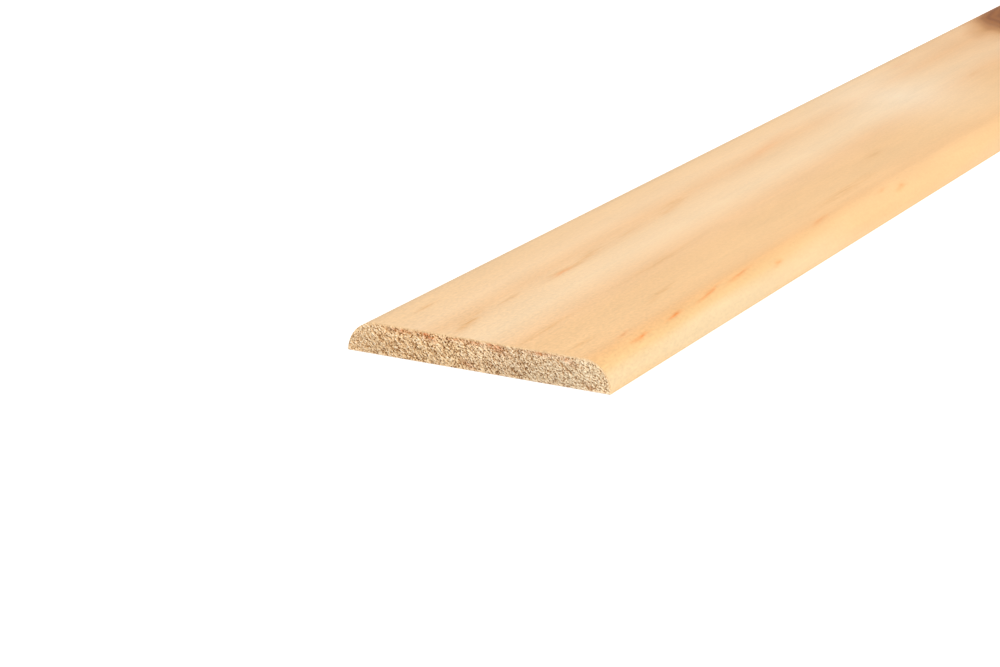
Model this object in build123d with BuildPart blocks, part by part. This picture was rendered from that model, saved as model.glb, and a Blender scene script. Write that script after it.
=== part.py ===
"""Flat cover strip: planed pine trim with a flat back and two rounded front edges.

The strip lies on its back, face up. X runs along its length, Y across its width and Z through
its thickness, and the origin is the middle of the back.
"""

import os

from build123d import *

# Driving dimensions, in millimetres
strip_length = 900
strip_width = 45
strip_thickness = 5
side_land = 0.2  # the straight side that is left between each round and the back

# Each front edge is rounded through the rest of the thickness
edge_radius = strip_thickness - side_land

# The section is drawn on the sawn end at -X, with its back on Z = 0, and runs to the other end
with BuildPart() as cover_strip:
    with BuildSketch(Plane.YZ.offset(-strip_length / 2)) as section:
        Rectangle(strip_width, strip_thickness, align=(Align.CENTER, Align.MIN))
        face_corners = section.vertices().group_by(Axis.Y)[-1]
        fillet(face_corners, radius=edge_radius)
    extrude(amount=strip_length)

cover_strip.part.label = "cover_strip"

os.makedirs("parts", exist_ok=True)
export_step(cover_strip.part, "parts/cover_strip.step")
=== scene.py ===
"""Flat cover strip in planed pine: its surfaces, a plain white studio and the photograph's camera.

The strip lies on its back along X. The end that the photograph shows is at -X, and +Y is the
photograph's left. The frame, the mesh and the studio are in metres. The wood's figure, the tears of
its ends and each value whose name ends in _mm are in millimetres.
"""

import math
from functools import partial

import bpy
from mathutils import Matrix, Vector


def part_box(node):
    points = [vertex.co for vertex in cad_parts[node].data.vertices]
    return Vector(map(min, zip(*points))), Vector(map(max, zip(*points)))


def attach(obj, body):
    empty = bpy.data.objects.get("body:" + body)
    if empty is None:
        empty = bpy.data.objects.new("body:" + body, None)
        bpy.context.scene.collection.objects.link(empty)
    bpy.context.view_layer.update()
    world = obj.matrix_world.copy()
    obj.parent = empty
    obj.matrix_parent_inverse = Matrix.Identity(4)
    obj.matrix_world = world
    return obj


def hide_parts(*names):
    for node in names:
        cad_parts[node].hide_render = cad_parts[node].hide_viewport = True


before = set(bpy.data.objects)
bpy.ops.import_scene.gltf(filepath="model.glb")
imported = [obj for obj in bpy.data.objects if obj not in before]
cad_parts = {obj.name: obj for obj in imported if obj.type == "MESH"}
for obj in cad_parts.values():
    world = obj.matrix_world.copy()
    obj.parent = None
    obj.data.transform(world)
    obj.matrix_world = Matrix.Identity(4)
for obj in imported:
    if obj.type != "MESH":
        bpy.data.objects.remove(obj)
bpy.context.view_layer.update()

MM = 0.001
PER_MM = 1 / MM

# The strip's sizes come from the frame; the land is the straight side below each round
strip_low, strip_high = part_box("cover_strip")
strip_length, strip_width, strip_thickness = strip_high - strip_low
side_land = 0.2 * MM
near_end_mm = strip_low.x * PER_MM
thickness_mm = strip_thickness * PER_MM

# Mesh fineness: about 0.1 mm on the sawn ends, stations crowded towards the ends along the length
outline_steps = 560
thickness_steps = 58
length_steps = 16
end_crowding = 3.0

# Shading and joining of the mesh: the turn up to which it is smooth, how close points are joined, and
# how close to an end they count as on it
smooth_limit = math.radians(40)
merge_distance = 0.001 * MM
end_margin = 0.01 * MM

# Torn fibre ends of the saw cuts: the fibres' tilt in the section, the sizes of a torn bundle, of the
# deep rows between bundles and of a single pit, and the seed of the pattern
fibre_tilt = math.radians(36)
fibre_long_mm, fibre_wide_mm = 0.28, 0.18
row_long_mm, row_wide_mm = 3.2, 0.8
pit_long_mm, pit_wide_mm = 0.4, 0.21
saw_seed = 7.3

# Depth of the tears, how far the fuzzy upper arris is worn back, and the heights over which they fade
saw_depth_mm = 0.24
rim_drop_mm = 0.14
rim_drop_high_mm = 0.3
rim_fade_mm = 0.35

# The cut is coarsest left of its middle: even for a stretch to each side, and then finer
coarsest_across_mm = 7.5
coarse_even_mm = 5.0
coarse_gone_mm = 17.0

# The photograph's camera: its eye is given from the middle of the near end's lower edge
camera_eye_mm = (-452.0, -213.4, 150.7)
camera_azimuth = math.radians(-65.11)
camera_elevation = math.radians(16.12)
camera_roll = math.radians(2.21)
camera_lens_mm = 121.99

scene = bpy.context.scene
scene.view_settings.view_transform = "Standard"


def linear(hex_colour):
    """An sRGB hex colour as linear red, green, blue and alpha."""
    channels = [int(hex_colour[place:place + 2], 16) / 255 for place in (1, 3, 5)]
    red, green, blue = [c / 12.92 if c <= 0.04045 else ((c + 0.055) / 1.055) ** 2.4 for c in channels]
    return red, green, blue, 1.0


def add_node(tree, kind, inputs=(), output=0, **settings):
    """Add a node with its settings, set or link its inputs, and return one of its outputs.

    Inputs are a tuple in socket order or a dict by name; a list of sockets links all of them."""
    node = tree.nodes.new(kind)
    for name, value in settings.items():
        setattr(node, name, value)
    by_key = inputs if isinstance(inputs, dict) else dict(enumerate(inputs))
    for key, value in by_key.items():
        for source in value if isinstance(value, list) else [value]:
            if isinstance(source, bpy.types.NodeSocket):
                tree.links.new(source, node.inputs[key])
            else:
                node.inputs[key].default_value = source
    return node.outputs[output] if node.outputs else node


def new_material(name):
    """An empty material and its node tree."""
    material = bpy.data.materials.new(name)
    material.use_nodes = True
    material.node_tree.nodes.clear()
    return material, material.node_tree


def fill_ramp(ramp, colours):
    """Put colours on a ramp that runs from the first one's place to the last one's."""
    stops = ramp.node.color_ramp.elements
    first, last = colours[0][0], colours[-1][0]
    stops[0].color = linear(colours[0][1])
    stops[1].color = linear(colours[-1][1])
    for place, colour in colours[1:-1]:
        stops.new((place - first) / (last - first)).color = linear(colour)


def grain_noise(tree, place_mm, size_mm, detail, output=0):
    """Noise drawn out along the strip, by the length and the width of its features."""
    long_mm, wide_mm = size_mm
    stretch = (1 / long_mm, 1 / wide_mm, 1 / wide_mm)
    drawn_out = add_node(tree, "ShaderNodeVectorMath", (place_mm, stretch), operation="MULTIPLY")
    return add_node(tree, "ShaderNodeTexNoise", {"Vector": drawn_out, "Scale": 1.0, "Detail": detail},
                    output=output)


def face_height_mm(across_mm):
    """Height of the strip's rounded face above its back, at a place across its width."""
    land_mm = side_land * PER_MM
    radius_mm = thickness_mm - land_mm
    past_flat = max(abs(across_mm) - (strip_width * PER_MM / 2 - radius_mm), 0)
    return land_mm + math.sqrt(max(radius_mm ** 2 - past_flat ** 2, 0))


# Wood figure: places are mm from the near end along the strip, and mm across it from its middle

# Colours across the growth rings, from the left round to the right
ring_colours = [
    (26.0, "#F4CB9A"),
    (15.0, "#F9D1A0"),
    (11.0, "#FCD6A8"),
    (7.5, "#F9CC99"),
    (3.5, "#FCD7A9"),
    (0.0, "#FDDBAF"),
    (-2.6, "#FDD6A7"),
    (-5.5, "#FACC98"),
    (-9.0, "#F8CA93"),
    (-13.5, "#F9CC95"),
    (-16.5, "#FACB93"),
    (-18.6, "#F6C185"),
    (-19.6, "#F2C185"),
    (-20.4, "#F1C78D"),
    (-21.1, "#F3D4A6"),
]

# The rings lean in the section, drift across the strip as far as the knot, and wander. The drift is
# none at the right and full at the left of a stretch across the face.
ring_lean = 1 / math.tan(math.radians(73))
grain_drift = 0.018
drift_none_mm, drift_full_mm = -17.0, -3.0
grain_wander_mm = 3.0

# Patterns along the grain, by length and width in mm. Fibres, pores and strands are too fine to show
# at their real width, so they are drawn coarser.
wander_size_mm = (120.0, 18.0)
fibre_size_mm = (14, 0.7)
pore_size_mm = (1.1, 0.45)
cloud_size_mm = (22, 3.5)
strand_size_mm = (9, 0.45)
fray_size_mm = (6, 1.0)
fleck_size_mm = (24, 1.8)

# How far streaks fray along and across, and where the flecks of the far part begin and are full
fray_reach_mm = (8.0, 0.9, 0.0)
fleck_begin_mm, fleck_full_mm = 230, 380
fleck_strength = 0.9

# Pores are strongest at the near end and fade from there
pore_near, pore_far = 2.0, 0.75
pore_fade_mm = 70

# Colours of the marks below
pale_colour = "#FFE4C0"
warm_colour = "#FCCB92"
brown_colour = "#E1A560"
resin_colour = "#F2984E"

# Streaks that show on the face: along, across, half length, half width, turn in degrees, strength
brown_streaks = [
    (8, 5.6, 11.0, 2.0, 10, 0.75),
    (25, 6.1, 6.0, 1.0, 5, 0.55),
    (45, 6.0, 16.0, 2.0, 3, 0.38),
    (56, 6.4, 14.0, 1.8, 6, 0.45),
    (97, 8.2, 18.0, 1.9, 7, 0.50),
    (75, 7.0, 45.0, 3.0, 3, 0.25),
    (13, 15.4, 9.0, 1.0, 3, 0.50),
    (12, -6.3, 24.0, 1.0, 1, 0.45),
    (60, -5.2, 30.0, 1.5, 1, 0.35),
    (7, -14.3, 10.0, 1.0, 2, 0.50),
    (40, -13.2, 15.0, 1.2, 6, 0.45),
    (125, -14.3, 30.0, 2.0, 2, 0.45),
    (156, -8.9, 14.0, 2.0, 4, 0.30),
    (244, -1.0, 18.0, 1.4, 4, 0.25),
]
resin_streaks = [
    (44, 5.8, 7.0, 0.8, 3, 0.55),
    (150, 10.8, 28.0, 2.6, 6, 0.22),
    (15.5, -17.7, 5.0, 0.8, 6, 0.55),
    (17.5, -19.9, 5.0, 0.70, 3, 1.2),
    (31.5, -19.6, 6.0, 0.70, 3, 1.25),
    (46, -19.4, 10.0, 0.60, 5, 0.85),
    (61, -19.4, 9.0, 0.65, 3, 0.85),
    (74, -20.9, 4.0, 0.70, 4, 0.60),
    (102, -18.2, 8.0, 1.0, 5, 0.45),
    (139, -20.6, 6.0, 1.0, 3, 0.50),
    (131, -19.5, 6.0, 0.9, 3, 0.30),
    (243, 15.8, 14.0, 2.2, 4, 0.16),
]
pale_patches = [
    (212, 5.0, 48.0, 30.0, 0, 1.0),
]
warm_patches = [
    (170, -20.0, 130.0, 9.0, 0, 1.6),
    (125, -21.5, 75.0, 4.5, 0, 0.9),
]

# The knot: a branch cut at a slant, right through the strip, with darker resin-rich wood round it
knot_along, knot_across = 328, 9.0
knot_half_long, knot_half_wide = 36.0, 13.0
knot_turn = math.radians(2)
knot_rings = 9
knot_early_wood, knot_late_wood = "#97591A", "#874C12"

# Wood round the knot, outermost first: colour, where it is full and gone in knot sizes, strength
knot_surrounds = [
    ("#E5AE78", 1.1, 3.6, 0.4),
    ("#C98A4C", 1.0, 1.55, 0.85),
]

# How far out the rings part round the knot, along and across, in knot sizes
parting_long, parting_wide = 2.6, 2.2


def spindle(tree, place_mm, centre_mm, rotation, half_sizes):
    """How deep a point is inside a long spindle: 1 at its middle, falling softly to 0 at its skin."""
    inside = add_node(tree, "ShaderNodeMapping", {
        "Vector": place_mm, "Location": centre_mm, "Rotation": rotation, "Scale": half_sizes},
        vector_type="TEXTURE")
    return add_node(tree, "ShaderNodeTexGradient", {"Vector": inside}, output="Fac",
                    gradient_type="QUADRATIC_SPHERE")


def face_marks(tree, place_mm, marks):
    """How strongly a point of the face is marked by any of a list of streaks."""
    total = 0.0
    for along, across, half_long, half_wide, turn, strength in marks:
        centre_mm = (near_end_mm + along, across, face_height_mm(across))
        rotation = (0, 0, math.radians(turn))
        inside = spindle(tree, place_mm, centre_mm, rotation, (half_long, half_wide, half_wide * 2))
        total = add_node(tree, "ShaderNodeMath", (inside, strength, total), operation="MULTIPLY_ADD")
    return total


def grain_coordinates(tree):
    """Object coordinates in mm, and grain coordinates: mm along the strip, across its rings and up."""
    add = partial(add_node, tree)
    place = add("ShaderNodeTexCoord", output="Object")
    place_mm = add("ShaderNodeVectorMath", {0: place, "Scale": PER_MM}, operation="SCALE")
    wander = grain_noise(tree, place_mm, wander_size_mm, detail=2.0)
    straight = add("ShaderNodeVectorMath", (place_mm, (0.0, 1.0, -ring_lean)), output="Value",
                   operation="DOT_PRODUCT")
    # On the face at the near end, with no wander, this is the place across the width
    level = ring_lean * thickness_mm - grain_wander_mm / 2
    swing = add("ShaderNodeMath", (wander, grain_wander_mm, level), operation="MULTIPLY_ADD")
    across_rings = add("ShaderNodeMath", (straight, swing), operation="ADD")
    # The rings fan out to the left as they near the knot, and run straight along the right round
    sides = add("ShaderNodeSeparateXYZ", (place_mm,)).node.outputs
    drift_mm = add("ShaderNodeMapRange", {
        "Value": sides["X"], "From Min": near_end_mm, "From Max": near_end_mm + knot_along,
        "To Max": -grain_drift * knot_along})
    fan = add("ShaderNodeMapRange", {
        "Value": sides["Y"], "From Min": drift_none_mm, "From Max": drift_full_mm})
    across_rings = add("ShaderNodeMath", (drift_mm, fan, across_rings), operation="MULTIPLY_ADD")
    # The rings part round the knot, alike through the whole thickness
    knot_centre = (near_end_mm + knot_along, knot_across, thickness_mm / 2)
    parting = (knot_half_long * parting_long, knot_half_wide * parting_wide, thickness_mm * 20)
    near_knot = spindle(tree, place_mm, knot_centre, (0, 0, knot_turn), parting)
    from_knot = add("ShaderNodeMath", (across_rings, knot_across), operation="SUBTRACT")
    squeeze = add("ShaderNodeMath", (near_knot, from_knot), operation="MULTIPLY")
    across_rings = add("ShaderNodeMath", (squeeze, -1.0, across_rings), operation="MULTIPLY_ADD")
    grain_mm = add("ShaderNodeCombineXYZ", (sides["X"], across_rings, sides["Z"]))
    return place_mm, grain_mm


def ring_bands(tree, grain_mm):
    """The soft colour bands of early and late wood."""
    across_rings = add_node(tree, "ShaderNodeSeparateXYZ", (grain_mm,), output="Y")
    from_left = add_node(tree, "ShaderNodeMapRange", {
        "Value": across_rings, "From Min": ring_colours[0][0], "From Max": ring_colours[-1][0]})
    bands = add_node(tree, "ShaderNodeValToRGB", {"Fac": from_left})
    fill_ramp(bands, ring_colours)
    return bands


def knot_wood(tree, place_mm, colour):
    """Lay the knot over the wood: a resin-rich halo, a soft dark edge, and close rings inside."""
    add = partial(add_node, tree)
    centre_mm = (near_end_mm + knot_along, knot_across, thickness_mm / 2)
    half_sizes = (knot_half_long, knot_half_wide, thickness_mm * 40)
    from_middle = add("ShaderNodeMapping", {
        "Vector": place_mm, "Location": centre_mm, "Rotation": (0, 0, knot_turn), "Scale": half_sizes},
        vector_type="TEXTURE")
    reach = add("ShaderNodeVectorMath", (from_middle,), output="Value", operation="LENGTH")
    uneven = add("ShaderNodeTexNoise", {"Vector": from_middle, "Scale": 2.2, "Detail": 1.5})
    reach = add("ShaderNodeMath", (uneven, 0.35, reach), operation="MULTIPLY_ADD")
    wave = add("ShaderNodeMath", (reach, knot_rings * 2 * math.pi), operation="MULTIPLY")
    wave = add("ShaderNodeMath", (wave,), operation="SINE")
    ring = add("ShaderNodeMapRange", {"Value": wave, "From Min": -1.0, "From Max": 1.0})
    for hex_colour, full, gone, strength in knot_surrounds:
        share = add("ShaderNodeMapRange", {
            "Value": reach, "From Min": full, "From Max": gone, "To Min": strength, "To Max": 0.0},
            interpolation_type="SMOOTHSTEP")
        colour = add("ShaderNodeMix", {0: share, 6: colour, 7: linear(hex_colour)},
                     output=2, data_type="RGBA")
    brown = add("ShaderNodeMix", {0: ring, 6: linear(knot_early_wood), 7: linear(knot_late_wood)},
                output=2, data_type="RGBA")
    inside = add("ShaderNodeMapRange", {
        "Value": reach, "From Min": 0.9, "From Max": 1.25, "To Min": 1.0, "To Max": 0.0},
        interpolation_type="SMOOTHSTEP")
    return add("ShaderNodeMix", {0: inside, 6: colour, 7: brown}, output=2, data_type="RGBA")


def planed_pine():
    """Planed, unfinished pine: pale and satin matte, with soft bands, frayed streaks and fine pores."""
    material, tree = new_material("planed pine")
    add = partial(add_node, tree)
    place_mm, grain_mm = grain_coordinates(tree)

    # Fibres are fine lines along the strip; pores are the short marks that the planer leaves
    fibres = grain_noise(tree, grain_mm, fibre_size_mm, detail=3.0)
    pores = grain_noise(tree, place_mm, pore_size_mm, detail=2.0)
    clouds = grain_noise(tree, grain_mm, cloud_size_mm, detail=2.0)

    # Streaks fray sideways and break up along the fibres
    fray = grain_noise(tree, place_mm, fray_size_mm, detail=3.0, output="Color")
    fray = add("ShaderNodeVectorMath", (fray, (0.5, 0.5, 0.5)), operation="SUBTRACT")
    fray = add("ShaderNodeVectorMath", (fray, fray_reach_mm), operation="MULTIPLY")
    frayed_mm = add("ShaderNodeVectorMath", (place_mm, fray), operation="ADD")
    strands = grain_noise(tree, grain_mm, strand_size_mm, detail=2.0)
    strands = add("ShaderNodeMapRange", {
        "Value": strands, "From Min": 0.32, "From Max": 0.68, "To Min": 0.2, "To Max": 1.5})

    colour = ring_bands(tree, grain_mm)
    pale = face_marks(tree, place_mm, pale_patches)
    colour = add("ShaderNodeMix", {0: pale, 6: colour, 7: linear(pale_colour)},
                 output=2, data_type="RGBA")
    warm = face_marks(tree, place_mm, warm_patches)
    colour = add("ShaderNodeMix", {0: warm, 6: colour, 7: linear(warm_colour)},
                 output=2, data_type="RGBA")
    brown = face_marks(tree, frayed_mm, brown_streaks)
    brown = add("ShaderNodeMath", (brown, strands), operation="MULTIPLY")
    along_mm = add("ShaderNodeSeparateXYZ", (place_mm,))
    beyond = add("ShaderNodeMapRange", {
        "Value": along_mm, "From Min": near_end_mm + fleck_begin_mm,
        "From Max": near_end_mm + fleck_full_mm, "To Max": fleck_strength})
    flecks = grain_noise(tree, grain_mm, fleck_size_mm, detail=2.0)
    flecks = add("ShaderNodeMapRange", {"Value": flecks, "From Min": 0.64, "From Max": 0.8})
    brown = add("ShaderNodeMath", (flecks, beyond, brown), operation="MULTIPLY_ADD")
    colour = add("ShaderNodeMix", {0: brown, 6: colour, 7: linear(brown_colour)},
                 output=2, data_type="RGBA")
    resin = face_marks(tree, frayed_mm, resin_streaks)
    colour = add("ShaderNodeMix", {0: resin, 6: colour, 7: linear(resin_colour)},
                 output=2, data_type="RGBA")
    colour = knot_wood(tree, place_mm, colour)

    # Fine shades of light and dark
    fibre_shade = add("ShaderNodeMapRange", {
        "Value": fibres, "From Min": 0.25, "From Max": 0.75, "To Min": 0.978, "To Max": 1.02})
    pore_shade = add("ShaderNodeMapRange", {
        "Value": pores, "From Min": 0.25, "From Max": 0.75, "To Min": -0.045, "To Max": 0.04})
    cloud_shade = add("ShaderNodeMapRange", {
        "Value": clouds, "From Min": 0.25, "From Max": 0.75, "To Min": 0.965, "To Max": 1.035})
    pore_strength = add("ShaderNodeMapRange", {
        "Value": along_mm, "From Min": near_end_mm, "From Max": near_end_mm + pore_fade_mm,
        "To Min": pore_near, "To Max": pore_far})
    pore_shade = add("ShaderNodeMath", (pore_shade, pore_strength, 1.0), operation="MULTIPLY_ADD")
    shade = add("ShaderNodeMath", (fibre_shade, pore_shade), operation="MULTIPLY")
    shade = add("ShaderNodeMath", (shade, cloud_shade), operation="MULTIPLY")
    colour = add("ShaderNodeVectorMath", {0: colour, "Scale": shade}, operation="SCALE")

    relief = add("ShaderNodeMath", (fibres, pores), operation="ADD")
    bump = add("ShaderNodeBump", {"Strength": 0.3, "Distance": 0.05 * MM, "Height": relief})
    surface = add("ShaderNodeBsdfPrincipled", {
        "Base Color": colour, "Roughness": 0.6, "IOR": 1.5, "Specular IOR Level": 0.2, "Normal": bump})
    add("ShaderNodeOutputMaterial", {"Surface": surface})
    return material


# The near sawn end: places are mm from its left edge, and mm above the back

# Longer tears between the rings: place, height, half length, half width, turn in degrees, depth
end_tears = [
    (37.6, 2.75, 2.8, 0.24, 35, 0.85),
    (40.9, 0.65, 1.5, 0.34, 35, 0.25),
    (7.2, 3.05, 1.9, 0.24, 24, 0.40),
    (11.4, 2.6, 1.7, 0.32, 45, 0.40),
    (28.0, 3.4, 1.6, 0.30, 55, 0.30),
    (16.3, 3.2, 1.2, 0.40, 38, 0.50),
    (19.8, 1.2, 2.4, 0.40, 25, 0.45),
    (24.0, 1.7, 1.0, 0.34, 48, 0.40),
]

# Red-brown stains under the face: place, height, half length, half width, turn, strength
end_stains = [
    (9.0, 4.5, 4.0, 0.9, 0, 0.6),
    (13.6, 4.4, 3.4, 1.2, 20, 1.1),
    (18.5, 4.5, 4.0, 0.9, 0, 0.7),
    (22.3, 4.5, 3.4, 0.9, 0, 0.55),
    (25.4, 4.45, 3.2, 1.1, 25, 0.95),
    (33.0, 4.6, 4.5, 0.9, 0, 0.55),
    (37.5, 4.2, 3.4, 0.8, 20, 0.5),
    (21.0, 0.7, 2.6, 1.0, 30, 0.5),
    (41.5, 0.6, 2.0, 0.8, 30, 0.35),
]

# Colours of the end grain, by place
end_colours = [
    (0, "#DFC299"),
    (9, "#EECC9E"),
    (18, "#F6D8AB"),
    (23, "#F5D9B1"),
    (28, "#E2C6A1"),
    (32, "#DFC5A0"),
    (38, "#E8D1AE"),
    (45, "#E9D2AD"),
]
# Fibre ends are partly a painted highlight, and the tears partly painted shade
fibre_end_and_highlight_colour = "#FDECD0"
torn_and_shade_colour = "#9C5C1C"
stain_colour = "#CE7B49"
# The pale border along the upper arris is partly a painted highlight
rim_and_highlight_colour = "#FBD5A4"

# A pit from its golden ring to its dark core, which is partly painted shade in its hollow: colour, where
# it is full and gone in pit sizes, strength
pit_layers_and_shade = [
    ("#C88428", 0.35, 0.58, 0.8),
    ("#6A3000", 0.2, 0.4, 1.0),
]
pit_depth_mm = 0.08

# Pits are strongest here, as a share of the width from the left
pit_middle = 0.47


def sawn_pine():
    """Sawn end grain: cream fibre ends with brown pits between them, redder under the face,
    and a thin pale border where the planed face meets the cut. The fibre ends and the border are partly
    painted highlight, the tears and pits partly painted shade, and the end is lighter towards the face
    and darker towards the back by painted light and shade."""
    material, tree = new_material("sawn pine end grain")
    add = partial(add_node, tree)
    place = add("ShaderNodeTexCoord", output="Object")
    place_mm = add("ShaderNodeVectorMath", {0: place, "Scale": PER_MM}, operation="SCALE")
    torn = add("ShaderNodeAttribute", output="Fac", attribute_name="torn_depth")
    below_face = add("ShaderNodeAttribute", output="Fac", attribute_name="below_face_mm")

    # Wood colour from the left edge to the right
    across = add("ShaderNodeSeparateXYZ", (place_mm,), output="Y")
    width_mm = strip_width * PER_MM
    from_left = add("ShaderNodeMapRange", {
        "Value": across, "From Min": width_mm / 2, "From Max": -width_mm / 2})
    wood = add("ShaderNodeValToRGB", {"Fac": from_left})
    fill_ramp(wood, end_colours)

    # Fibre ends are pale, and the tears between them dark: partly their own colour, partly a painted
    # highlight on the raised ends and painted shade down in the tears
    pale = add("ShaderNodeMapRange", {
        "Value": torn, "From Min": 0.05, "From Max": 0.42, "To Min": 0.8, "To Max": 0.0})
    colour = add("ShaderNodeMix", {0: pale, 6: wood, 7: linear(fibre_end_and_highlight_colour)},
                 output=2, data_type="RGBA")
    dark = add("ShaderNodeMapRange", {
        "Value": torn, "From Min": 0.65, "From Max": 1.0, "To Min": 0.0, "To Max": 0.4})
    colour = add("ShaderNodeMix", {0: dark, 6: colour, 7: linear(torn_and_shade_colour)},
                 output=2, data_type="RGBA")

    # Pits where single fibres broke off below the cut, with ragged edges: a cell each, with its own
    # chances, drawn coarser than real ones so that they show. Their dark cores are partly painted shade.
    pit_place = add("ShaderNodeMapping", {
        "Vector": place_mm, "Rotation": (fibre_tilt, 0, 0), "Scale": (1, pit_long_mm, pit_wide_mm)},
        vector_type="TEXTURE")
    pit_place = add("ShaderNodeSeparateXYZ", (pit_place,)).node.outputs
    pit_place = add("ShaderNodeCombineXYZ", (pit_place["Y"], pit_place["Z"]))
    ragged = add("ShaderNodeTexNoise", {"Vector": pit_place, "Scale": 1.6, "Detail": 1.0},
                 output="Color", noise_dimensions="2D")
    ragged = add("ShaderNodeVectorMath", (ragged, (0.5, 0.5, 0.5)), operation="SUBTRACT")
    pit_place = add("ShaderNodeVectorMath", (ragged, (1.3, 1.3, 0.0), pit_place),
                    operation="MULTIPLY_ADD")
    pits = add("ShaderNodeTexVoronoi", {"Vector": pit_place, "Scale": 1.0},
               voronoi_dimensions="2D").node.outputs
    chance = add("ShaderNodeSeparateColor", (pits["Color"],)).node.outputs

    # Stains take some bundles of fibres more than others
    stained = 0.0
    for from_left_mm, up_mm, half_long, half_wide, turn, strength in end_stains:
        centre_mm = (near_end_mm, width_mm / 2 - from_left_mm, up_mm)
        rotation = (math.radians(turn), 0, 0)
        stain = spindle(tree, place_mm, centre_mm, rotation, (thickness_mm, half_long, half_wide))
        stained = add("ShaderNodeMath", (stain, strength, stained), operation="MULTIPLY_ADD")
    by_bundle = add("ShaderNodeMapRange", {"Value": chance["Blue"], "To Min": 0.3, "To Max": 1.7})
    stained = add("ShaderNodeMath", (stained, by_bundle), operation="MULTIPLY")
    colour = add("ShaderNodeMix", {0: stained, 6: colour, 7: linear(stain_colour)},
                 output=2, data_type="RGBA")

    # A cell is a pit by chance, more often where the cut is torn, and less towards both sides
    is_pit = add("ShaderNodeMath", (torn, 0.35, chance["Red"]), operation="MULTIPLY_ADD")
    is_pit = add("ShaderNodeMapRange", {"Value": is_pit, "From Min": 0.4, "From Max": 0.95})
    from_middle = add("ShaderNodeMath", (from_left, pit_middle), operation="SUBTRACT")
    from_middle = add("ShaderNodeMath", (from_middle,), operation="ABSOLUTE")
    pit_strength = add("ShaderNodeMapRange", {
        "Value": from_middle, "From Min": 0.08, "From Max": 0.4, "To Min": 1.0, "To Max": 0.65})
    is_pit = add("ShaderNodeMath", (is_pit, pit_strength), operation="MULTIPLY")
    for hex_colour, full, gone, strength in pit_layers_and_shade:
        pit = add("ShaderNodeMapRange", {
            "Value": pits["Distance"], "From Min": full, "From Max": gone,
            "To Min": strength, "To Max": 0.0})
        pit = add("ShaderNodeMath", (pit, is_pit), operation="MULTIPLY")
        colour = add("ShaderNodeMix", {0: pit, 6: colour, 7: linear(hex_colour)},
                     output=2, data_type="RGBA")

    # Bundles differ a little, painted light and shade make the cut lighter towards the face and darker
    # towards the back, and a pale border, partly a painted highlight, edges it there
    bundle = add("ShaderNodeMapRange", {"Value": chance["Green"], "To Min": 0.96, "To Max": 1.14})
    colour = add("ShaderNodeVectorMath", {0: colour, "Scale": bundle}, operation="SCALE")
    # Painted light and shade: the end is lightened under the face and darkened towards the back
    painted_light_by_height = add("ShaderNodeMapRange", {
        "Value": below_face, "From Max": thickness_mm, "To Min": 1.21, "To Max": 0.95})
    colour = add("ShaderNodeVectorMath", {0: colour, "Scale": painted_light_by_height}, operation="SCALE")
    # A pale border along the upper arris: partly fuzzy fibre ends, partly a painted highlight; weaker at
    # the left edge
    rim_and_highlight = add("ShaderNodeMapRange", {
        "Value": below_face, "From Min": 0.12, "From Max": 0.4, "To Min": 1.0, "To Max": 0.0})
    off_left_edge = add("ShaderNodeMapRange", {
        "Value": from_left, "From Min": 0.03, "From Max": 0.11, "To Min": 0.1, "To Max": 1.0})
    rim_and_highlight = add("ShaderNodeMath", (rim_and_highlight, off_left_edge), operation="MULTIPLY")
    colour = add("ShaderNodeMix", {0: rim_and_highlight, 6: colour, 7: linear(rim_and_highlight_colour)},
                 output=2, data_type="RGBA")

    # The last layer of the pits, their core, is pressed in
    bump = add("ShaderNodeBump", {"Strength": 1.0, "Distance": -pit_depth_mm * MM, "Height": pit})
    surface = add("ShaderNodeBsdfPrincipled", {
        "Base Color": colour, "Roughness": 0.85, "IOR": 1.5, "Specular IOR Level": 0.15, "Normal": bump})
    add("ShaderNodeOutputMaterial", {"Surface": surface})
    return material


# The strip's mesh

strip_sizes = {
    "Length": strip_length,
    "Width": strip_width,
    "Thickness": strip_thickness,
    "Side Land": side_land,
    "Outline Steps": outline_steps,
    "Thickness Steps": thickness_steps,
    "Length Steps": length_steps,
    "End Crowding": end_crowding,
    "Fibre Tilt": fibre_tilt,
    "Fibre Long": fibre_long_mm,
    "Fibre Wide": fibre_wide_mm,
    "Row Long": row_long_mm,
    "Row Wide": row_wide_mm,
    "Saw Depth": saw_depth_mm,
    "Rim Drop": rim_drop_mm,
    "Saw Seed": saw_seed,
}


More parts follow.
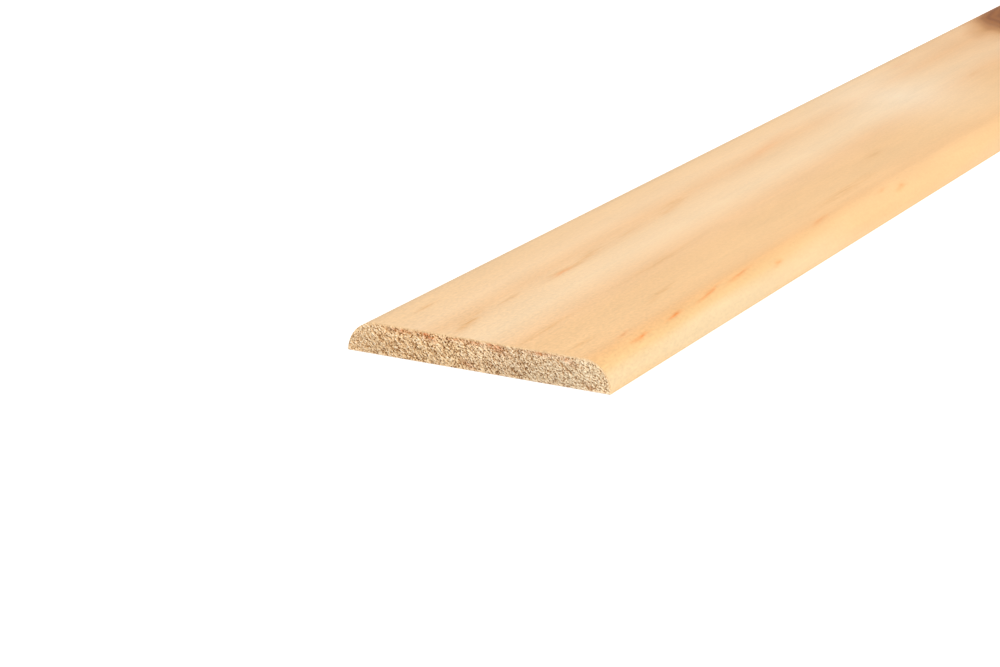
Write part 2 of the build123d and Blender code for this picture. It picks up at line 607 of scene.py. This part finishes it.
def strip_tree(planed, sawn):
    """Geometry Nodes for the strip: a plate with the section's outline makes the two sawn ends, its
    border is carried along the length for the planed faces, and the ends are then torn."""
    tree = bpy.data.node_groups.new("cover strip", "GeometryNodeTree")
    add = partial(add_node, tree)
    for name, value in strip_sizes.items():
        kind = "NodeSocketInt" if isinstance(value, int) else "NodeSocketFloat"
        tree.interface.new_socket(name=name, in_out="INPUT", socket_type=kind)
    tree.interface.new_socket(name="Strip", in_out="OUTPUT", socket_type="NodeSocketGeometry")
    given = add("NodeGroupInput").node.outputs
    position = add("GeometryNodeInputPosition")
    place = add("ShaderNodeSeparateXYZ", (position,)).node.outputs
    side = add("ShaderNodeMath", (place["X"],), operation="SIGN")
    from_middle = add("ShaderNodeMath", (place["X"],), operation="ABSOLUTE")

    # Half of the face's outline: a flat stretch, then a quarter round down to the land
    radius = add("ShaderNodeMath", (given["Thickness"], given["Side Land"]), operation="SUBTRACT")
    half_width = add("ShaderNodeMath", (given["Width"], 0.5), operation="MULTIPLY")
    half_flat = add("ShaderNodeMath", (half_width, radius), operation="SUBTRACT")
    half_outline = add("ShaderNodeMath", (radius, math.pi / 2, half_flat), operation="MULTIPLY_ADD")

    # The plate: columns run from even places on the back to even places along the face's outline
    columns = add("ShaderNodeMath", (given["Outline Steps"], 1), operation="ADD")
    levels = add("ShaderNodeMath", (given["Thickness Steps"], 1), operation="ADD")
    grid = add("GeometryNodeMeshGrid", {
        "Size X": 2.0, "Size Y": 2.0, "Vertices X": columns, "Vertices Y": levels})
    up = add("ShaderNodeMath", (place["Y"], 0.5, 0.5), operation="MULTIPLY_ADD")
    along_outline = add("ShaderNodeMath", (from_middle, half_outline), operation="MULTIPLY")
    on_flat = add("ShaderNodeMath", (along_outline, half_flat), operation="MINIMUM")
    on_round = add("ShaderNodeMath", (along_outline, on_flat), operation="SUBTRACT")
    angle = add("ShaderNodeMath", (on_round, radius), operation="DIVIDE")
    sine = add("ShaderNodeMath", (angle,), operation="SINE")
    cosine = add("ShaderNodeMath", (angle,), operation="COSINE")
    face_across = add("ShaderNodeMath", (radius, sine, on_flat), operation="MULTIPLY_ADD")
    face_across = add("ShaderNodeMath", (face_across, side), operation="MULTIPLY")
    face_height = add("ShaderNodeMath", (radius, cosine, given["Side Land"]), operation="MULTIPLY_ADD")
    back_across = add("ShaderNodeMath", (place["X"], half_width), operation="MULTIPLY")
    across = add("ShaderNodeMix", {0: up, 2: back_across, 3: face_across})
    height = add("ShaderNodeMath", (up, face_height), operation="MULTIPLY")
    below_face = add("ShaderNodeMath", (face_height, height), operation="SUBTRACT")
    below_face_mm = add("ShaderNodeMath", (below_face, PER_MM), operation="MULTIPLY")
    plate = add("GeometryNodeStoreNamedAttribute", {
        "Geometry": grid, "Name": "below_face_mm", "Value": below_face_mm},
        data_type="FLOAT", domain="POINT")
    plate_place = add("ShaderNodeCombineXYZ", (across, height))
    plate = add("GeometryNodeSetPosition", {"Geometry": plate, "Position": plate_place})

    # The planed faces: the plate's border, carried along a rail whose stations crowd to the ends
    faces_beside = add("GeometryNodeInputMeshEdgeNeighbors")
    on_border = add("FunctionNodeCompare", {2: faces_beside, 3: 1}, data_type="INT", operation="EQUAL")
    border = add("GeometryNodeMeshToCurve", {"Mesh": plate, "Selection": on_border})
    line = add("GeometryNodeCurvePrimitiveLine", {"Start": (-1, 0, 0), "End": (1, 0, 0)})
    stations = add("ShaderNodeMath", (given["Length Steps"], 1), operation="ADD")
    rail = add("GeometryNodeResampleCurve", {"Curve": line, "Count": stations})
    from_end = add("ShaderNodeMath", (1, from_middle), operation="SUBTRACT")
    crowded = add("ShaderNodeMath", (from_end, given["End Crowding"]), operation="POWER")
    share = add("ShaderNodeMath", (1, crowded), operation="SUBTRACT")
    half_length = add("ShaderNodeMath", (given["Length"], 0.5), operation="MULTIPLY")
    end_x = add("ShaderNodeMath", (side, half_length), operation="MULTIPLY")
    rail_x = add("ShaderNodeMath", (share, end_x), operation="MULTIPLY")
    rail_place = add("ShaderNodeCombineXYZ", (rail_x,))
    rail = add("GeometryNodeSetPosition", {"Geometry": rail, "Position": rail_place})
    rail = add("GeometryNodeSetCurveNormal", {"Curve": rail, "Normal": (0, 1, 0)}, mode="FREE")
    faces = add("GeometryNodeCurveToMesh", {"Curve": rail, "Profile Curve": border})
    faces = add("GeometryNodeFlipFaces", {"Mesh": faces})

    # The ends: the plate stood up at each end, facing outwards
    far_place = add("ShaderNodeCombineXYZ", (half_length, place["X"], place["Y"]))
    far_end = add("GeometryNodeSetPosition", {"Geometry": plate, "Position": far_place})
    near_x = add("ShaderNodeMath", (half_length, -1), operation="MULTIPLY")
    near_place = add("ShaderNodeCombineXYZ", (near_x, place["X"], place["Y"]))
    near_end = add("GeometryNodeSetPosition", {"Geometry": plate, "Position": near_place})
    near_end = add("GeometryNodeFlipFaces", {"Mesh": near_end})
    ends = add("GeometryNodeJoinGeometry", {"Geometry": [near_end, far_end]})
    ends = add("GeometryNodeStoreNamedAttribute", {
        "Geometry": ends, "Name": "sawn_end", "Value": True}, data_type="BOOLEAN", domain="FACE")
    strip = add("GeometryNodeJoinGeometry", {"Geometry": [ends, faces]})
    strip = add("GeometryNodeMergeByDistance", {"Geometry": strip, "Distance": merge_distance})

    # Arrises stay sharp and the rounds are smooth
    edge_angle = add("GeometryNodeInputMeshEdgeAngle")
    is_smooth = add("FunctionNodeCompare", (edge_angle, smooth_limit), operation="LESS_THAN")
    strip = add("GeometryNodeSetShadeSmooth", {"Geometry": strip, "Shade Smooth": True}, domain="FACE")
    strip = add("GeometryNodeSetShadeSmooth", {"Geometry": strip, "Shade Smooth": is_smooth},
                domain="EDGE")

    # Torn fibre ends: a fine noise for the bundles of fibres, and deep rows where a broad noise
    # crosses its middle value, both longer along the tilt
    place_mm = add("ShaderNodeVectorMath", {0: position, "Scale": PER_MM}, operation="SCALE")
    back_turn = add("ShaderNodeMath", (given["Fibre Tilt"], -1), operation="MULTIPLY")
    turned = add("ShaderNodeVectorRotate", {"Vector": place_mm, "Axis": (1, 0, 0), "Angle": back_turn})
    turned = add("ShaderNodeSeparateXYZ", (turned,)).node.outputs
    seed = add("ShaderNodeMath", (side, given["Saw Seed"]), operation="MULTIPLY")
    fibre_x = add("ShaderNodeMath", (turned["Y"], given["Fibre Long"]), operation="DIVIDE")
    fibre_x = add("ShaderNodeMath", (fibre_x, seed), operation="ADD")
    fibre_y = add("ShaderNodeMath", (turned["Z"], given["Fibre Wide"]), operation="DIVIDE")
    fibre_place = add("ShaderNodeCombineXYZ", (fibre_x, fibre_y, seed))
    bundles = add("ShaderNodeTexNoise", {
        "Vector": fibre_place, "Scale": 1.0, "Detail": 1.0, "Roughness": 0.6})
    torn = add("ShaderNodeMapRange", {
        "Value": bundles, "From Min": 0.32, "From Max": 0.68, "To Min": -0.5, "To Max": 0.5})
    row_x = add("ShaderNodeMath", (turned["Y"], given["Row Long"]), operation="DIVIDE")
    row_y = add("ShaderNodeMath", (turned["Z"], given["Row Wide"]), operation="DIVIDE")
    row_place = add("ShaderNodeCombineXYZ", (row_x, row_y, seed))
    deep_rows = add("ShaderNodeTexNoise", {"Vector": row_place, "Scale": 1.0, "Detail": 1.0})
    deep_rows = add("ShaderNodeMath", (deep_rows, 0.5), operation="SUBTRACT")
    deep_rows = add("ShaderNodeMath", (deep_rows,), operation="ABSOLUTE")
    deep_rows = add("ShaderNodeMapRange", {
        "Value": deep_rows, "From Min": 0.0, "From Max": 0.07, "To Min": 0.5, "To Max": 0.0})

    # The cut is coarsest left of its middle
    from_coarsest = add("ShaderNodeMath", (place["Y"], coarsest_across_mm * MM), operation="SUBTRACT")
    from_coarsest = add("ShaderNodeMath", (from_coarsest,), operation="ABSOLUTE")
    coarse = add("ShaderNodeMapRange", {
        "Value": from_coarsest, "From Min": coarse_even_mm * MM, "From Max": coarse_gone_mm * MM,
        "To Min": 1.0, "To Max": 0.3},
        interpolation_type="SMOOTHSTEP")
    torn = add("ShaderNodeMath", (deep_rows, coarse, torn), operation="MULTIPLY_ADD")
    torn = add("ShaderNodeMath", (torn, 0.45), operation="ADD")

    # The longer tears
    for from_left_mm, up_mm, half_long, half_wide, turn, tear_depth in end_tears:
        middle = (near_end_mm, strip_width * PER_MM / 2 - from_left_mm, up_mm)
        offset = add("ShaderNodeVectorMath", (place_mm, middle), operation="SUBTRACT")
        offset = add("ShaderNodeVectorRotate", {
            "Vector": offset, "Axis": (1, 0, 0), "Angle": -math.radians(turn)})
        offset = add("ShaderNodeVectorMath", (offset, (1, half_long, half_wide)), operation="DIVIDE")
        reach = add("ShaderNodeVectorMath", (offset,), output="Value", operation="LENGTH")
        tear = add("ShaderNodeMapRange", {
            "Value": reach, "From Min": 1.0, "From Max": 0.2, "To Min": 0.0, "To Max": tear_depth})
        torn = add("ShaderNodeMath", (torn, tear), operation="ADD")
    torn = add("ShaderNodeClamp", (torn,))

    # The points of both ends go inwards, less so at the border, and more where the arris is worn
    near_limit = add("ShaderNodeMath", (half_length, end_margin), operation="SUBTRACT")
    at_end = add("FunctionNodeCompare", (from_middle, near_limit), operation="GREATER_THAN")
    strip = add("GeometryNodeStoreNamedAttribute", {
        "Geometry": strip, "Selection": at_end, "Name": "torn_depth", "Value": torn},
        data_type="FLOAT", domain="POINT")
    stored_torn = add("GeometryNodeInputNamedAttribute", {"Name": "torn_depth"}, data_type="FLOAT")
    stored_below = add("GeometryNodeInputNamedAttribute", {"Name": "below_face_mm"}, data_type="FLOAT")
    above_back = add("ShaderNodeMath", (place["Z"], PER_MM), operation="MULTIPLY")
    from_rim = add("ShaderNodeMath", (stored_below, above_back), operation="MINIMUM")
    rim_fade = add("ShaderNodeMapRange", {
        "Value": from_rim, "From Min": 0.0, "From Max": rim_fade_mm, "To Min": 0.15, "To Max": 1.0})
    depth = add("ShaderNodeMath", (stored_torn, rim_fade), operation="MULTIPLY")
    rim_drop = add("ShaderNodeMapRange", {
        "Value": stored_below, "From Min": 0.0, "From Max": rim_drop_high_mm,
        "To Min": given["Rim Drop"], "To Max": 0.0},
        interpolation_type="SMOOTHSTEP")
    depth = add("ShaderNodeMath", (depth, given["Saw Depth"], rim_drop), operation="MULTIPLY_ADD")
    inward = add("ShaderNodeMath", (side, -MM), operation="MULTIPLY")
    push_x = add("ShaderNodeMath", (depth, inward), operation="MULTIPLY")
    push = add("ShaderNodeCombineXYZ", (push_x,))
    strip = add("GeometryNodeSetPosition", {"Geometry": strip, "Selection": at_end, "Offset": push})

    is_sawn = add("GeometryNodeInputNamedAttribute", {"Name": "sawn_end"}, data_type="BOOLEAN")
    strip = add("GeometryNodeRealizeInstances", {"Geometry": strip})
    strip = add("GeometryNodeSetMaterial", {"Geometry": strip, "Material": planed})
    strip = add("GeometryNodeSetMaterial", {"Geometry": strip, "Selection": is_sawn, "Material": sawn})
    add("NodeGroupOutput", {"Strip": strip})
    return tree


def cover_strip_mesh(tree):
    """Run the tree once and keep its result as a plain mesh."""
    maker = bpy.data.objects.new("cover_strip_maker", bpy.data.meshes.new("cover_strip_maker"))
    scene.collection.objects.link(maker)
    modifier = maker.modifiers.new("cover strip", "NODES")
    modifier.node_group = tree
    for item in tree.interface.items_tree:
        if item.in_out == "INPUT":
            modifier[item.identifier] = strip_sizes[item.name]
    depsgraph = bpy.context.evaluated_depsgraph_get()
    mesh = bpy.data.meshes.new_from_object(maker.evaluated_get(depsgraph), depsgraph=depsgraph)
    maker.modifiers.clear()
    bpy.data.objects.remove(maker)
    # The slot without a material goes
    mesh.materials.pop(index=list(mesh.materials).index(None))
    return mesh


def lay_out_flat(mesh, sawn):
    """Lay the strip's surface out in a square, for pictures that are baked from its materials.

    Each half of the face and of the back is a row of its own, so that the strip's length is spread
    over the square twice, and the two sawn ends, drawn larger, share the top row."""
    radius = strip_thickness - side_land
    half_flat = strip_width / 2 - radius
    half_outline = half_flat + radius * math.pi / 2 + side_land
    # Shares of the square's side: the gap between rows, and the width of an end
    gap = 0.006
    end_share = 0.47
    end_scale = end_share / strip_width
    rows_height = 1 - 6 * gap - end_scale * strip_thickness
    row_scale = rows_height / (4 * half_outline + 2 * strip_width)
    row_length = 1 - 2 * gap
    flat_map = mesh.uv_layers.new(name="OFBake")

    def along_outline(place):
        """Distance from the face's middle line, round the outline."""
        on_flat = min(abs(place.y), half_flat)
        angle = math.atan2(abs(place.y) - on_flat, max(place.z - side_land, 0))
        on_land = max(side_land - place.z, 0)
        return math.copysign(on_flat + radius * angle + on_land, place.y)

    for face in mesh.polygons:
        is_far = face.center.x > 0
        is_back = face.normal.z < -0.5
        for corner in face.loop_indices:
            place = mesh.vertices[mesh.loops[corner].vertex_index].co
            if mesh.materials[face.material_index] == sawn:
                left = gap + is_far * (0.5 - gap / 2)
                u = left + (strip_width / 2 + place.y * (1 if is_far else -1)) * end_scale
                v = 1 - gap - (strip_thickness - place.z) * end_scale
            else:
                u = gap + row_length * (place.x + strip_length / 2 * (not is_far)) / (strip_length / 2)
                if is_back:
                    bottom = gap + is_far * (gap + strip_width * row_scale)
                    v = bottom + (strip_width / 2 - place.y) * row_scale
                else:
                    bottom = 3 * gap + 2 * strip_width * row_scale
                    bottom += is_far * (gap + 2 * half_outline * row_scale)
                    v = bottom + (along_outline(place) + half_outline) * row_scale
            flat_map.data[corner].uv = (u, v)


planed = planed_pine()
sawn = sawn_pine()
strip_mesh = cover_strip_mesh(strip_tree(planed, sawn))
lay_out_flat(strip_mesh, sawn)
strip_mesh.name = "pine_cover_strip"
strip = bpy.data.objects.new("pine_cover_strip", strip_mesh)
scene.collection.objects.link(strip)
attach(strip, "root")
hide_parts("cover_strip")


# Studio

def seen_rays(tree):
    """1 for a ray that shows a surface to the eye, also by a mirror or glass, and 0 for light."""
    add = partial(add_node, tree)
    ray = add("ShaderNodeLightPath").node.outputs
    seen = add("ShaderNodeMath", (ray["Is Camera Ray"], ray["Is Glossy Ray"]), operation="MAXIMUM")
    return add("ShaderNodeMath", (seen, ray["Is Transmission Ray"]), operation="MAXIMUM")


def white_floor():
    """A wide white floor, lifted to plain white for the eye, that keeps the strip's shadow."""
    half = 30.0
    level = -0.1 * MM
    lift_strength = 0.55
    corners = [(x, y, level) for x, y in ((-half, -half), (half, -half), (half, half), (-half, half))]
    mesh = bpy.data.meshes.new("white_floor")
    mesh.from_pydata(corners, [], [(0, 1, 2, 3)])
    material, tree = new_material("white floor")
    add = partial(add_node, tree)
    lift = add("ShaderNodeMath", (seen_rays(tree), lift_strength), operation="MULTIPLY")
    paint = add("ShaderNodeBsdfDiffuse", {"Color": linear("#EDEDED")})
    glow = add("ShaderNodeEmission", {"Color": (1, 1, 1, 1), "Strength": lift})
    both = add("ShaderNodeAddShader", (paint, glow))
    add("ShaderNodeOutputMaterial", {"Surface": both})
    mesh.materials.append(material)
    floor = bpy.data.objects.new("white_floor", mesh)
    scene.collection.objects.link(floor)


def white_world():
    """Even light from all round, which the eye sees as white."""
    world = bpy.data.worlds.new("white studio")
    world.use_nodes = True
    tree = world.node_tree
    tree.nodes.clear()
    add = partial(add_node, tree)
    strength = add("ShaderNodeMapRange", {"Value": seen_rays(tree), "To Min": 0.5, "To Max": 1.0})
    light = add("ShaderNodeBackground", {"Color": (1, 1, 1, 1), "Strength": strength})
    add("ShaderNodeOutputWorld", {"Surface": light})
    scene.world = world


def key_lamp():
    """A large soft lamp above the photograph's right."""
    lamp = bpy.data.lights.new("key lamp", "AREA")
    lamp.shape = "DISK"
    lamp.size = 1.9
    lamp.energy = 84.0
    key = bpy.data.objects.new("key lamp", lamp)
    lit_along = 0.15
    from_aim = Vector((-1.68, -1.92, 2.4))
    aim = Vector((strip_low.x + lit_along, 0, 0))
    place = aim + from_aim
    key.location = place
    key.rotation_mode = "QUATERNION"
    key.rotation_quaternion = (aim - place).to_track_quat("-Z", "Y")
    scene.collection.objects.link(key)


def photo_camera():
    """The photograph's camera, fitted to the strip's outline in it."""
    back = Vector((
        math.sin(camera_azimuth) * math.cos(camera_elevation),
        -math.cos(camera_azimuth) * math.cos(camera_elevation),
        math.sin(camera_elevation)))
    level_right = Vector((0, 0, 1)).cross(back).normalized()
    level_up = back.cross(level_right)
    right = math.cos(camera_roll) * level_right + math.sin(camera_roll) * level_up
    up = math.cos(camera_roll) * level_up - math.sin(camera_roll) * level_right
    camera_data = bpy.data.cameras.new("photo camera")
    camera_data.sensor_width = 36.0
    camera_data.lens = camera_lens_mm
    camera_data.clip_start = 0.01
    camera_data.clip_end = 100.0
    camera = bpy.data.objects.new("photo camera", camera_data)
    turn = Matrix((right, up, back)).transposed()
    eye = Vector(camera_eye_mm) * MM + Vector((strip_low.x, 0, 0))
    camera.matrix_world = Matrix.Translation(eye) @ turn.to_4x4()
    scene.collection.objects.link(camera)
    scene.camera = camera


white_floor()
white_world()
key_lamp()
photo_camera()
